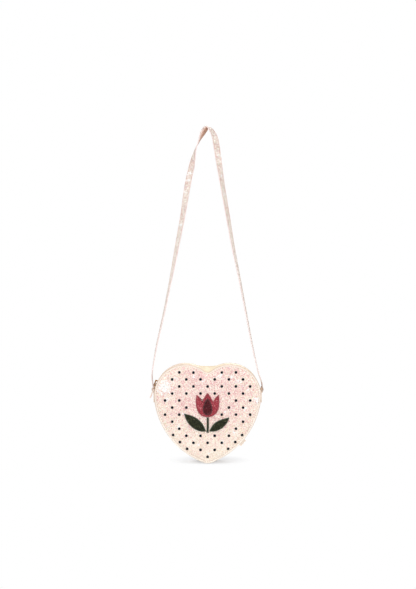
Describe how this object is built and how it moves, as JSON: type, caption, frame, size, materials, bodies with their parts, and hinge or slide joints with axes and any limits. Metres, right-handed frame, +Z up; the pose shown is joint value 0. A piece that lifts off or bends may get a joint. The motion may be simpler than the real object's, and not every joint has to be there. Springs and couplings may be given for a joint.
{
  "type": "heart-shaped shoulder bag",
  "caption": "Child's heart-shaped shoulder bag with a padded glitter front, cream gusset, zip over the top and a twisted flat strap, hung by the strap.",
  "frame": {"origin": "the underside of the strap at its top, where a hook holds it", "axes": "+Z up, -Y towards the glitter front, +X to the right as seen from the front"},
  "size_m": [0.1763, 0.0562, 0.5205],
  "materials": {
    "glitter_cloth": "pale pink glitter flakes on coated cloth",
    "cream_leatherette": "plain cream coated cloth with a fine grain",
    "lining_cloth": "plain woven lining",
    "padding": "soft foam",
    "board": "pressed fibre board",
    "gold_metal": "gold-coloured plated casting",
    "zip_tape": "cream woven tape",
    "zip_nylon": "cream nylon coil",
    "red_patch": "red coated cloth patch with glitter",
    "dark_red_patch": "dark red coated cloth patch with glitter",
    "green_patch": "dark green coated cloth patch"
  },
  "bodies": {
    "strap": {"strap": "glitter_cloth"},
    "bag": {"front_cover_lower": "glitter_cloth", "front_padding_lower": "padding", "front_lining_lower": "lining_cloth", "back_cover": "glitter_cloth", "back_board": "board", "back_lining": "lining_cloth", "gusset": "cream_leatherette", "gusset_lining": "lining_cloth", "zip_facing_back": "cream_leatherette", "zip_tape_back": "zip_tape", "zip_coil_back": "zip_nylon", "zip_end_patch_left": "zip_tape", "zip_end_patch_right": "zip_tape", "zip_stop_left": "gold_metal", "zip_stop_right": "gold_metal", "anchor_tab_left": "cream_leatherette", "anchor_tab_right": "cream_leatherette", "strap_rivet_left": "gold_metal", "strap_rivet_right": "gold_metal", "flower": "red_patch", "flower_petal": "dark_red_patch", "flower_stem": "green_patch", "leaf_left": "green_patch", "leaf_right": "green_patch", "side_tab": "cream_leatherette"},
    "front_flap": {"front_cover_upper": "glitter_cloth", "front_padding_upper": "padding", "front_lining_upper": "lining_cloth", "zip_facing_front": "cream_leatherette", "zip_tape_front": "zip_tape", "zip_coil_front": "zip_nylon"},
    "zip_slider": {"zip_slider": "gold_metal"},
    "zip_pull": {"zip_pull_ring": "gold_metal", "zip_pull_tab": "glitter_cloth"}
  },
  "joints": [
    {"name": "bag_swing", "type": "hinge", "parent": "strap", "child": "bag", "pos_m": [0, 0, -0.4073], "axis": [1, 0, 0], "range_deg": [-38, 38]},
    {"name": "mouth_open", "type": "hinge", "parent": "bag", "child": "front_flap", "pos_m": [0, -0.0306, -0.4073], "axis": [1, 0, 0], "range_deg": [0, 35]},
    {"name": "zip_travel", "type": "hinge", "parent": "bag", "child": "zip_slider", "pos_m": [-0.0342, -0.0112, -0.4153], "axis": [0, 1, 0], "range_deg": [0, 72]},
    {"name": "pull_swing", "type": "hinge", "parent": "zip_slider", "child": "zip_pull", "pos_m": [-0.07954, -0.0112, -0.39698], "axis": [0, 1, 0], "range_deg": [0, 150]}
  ]
}
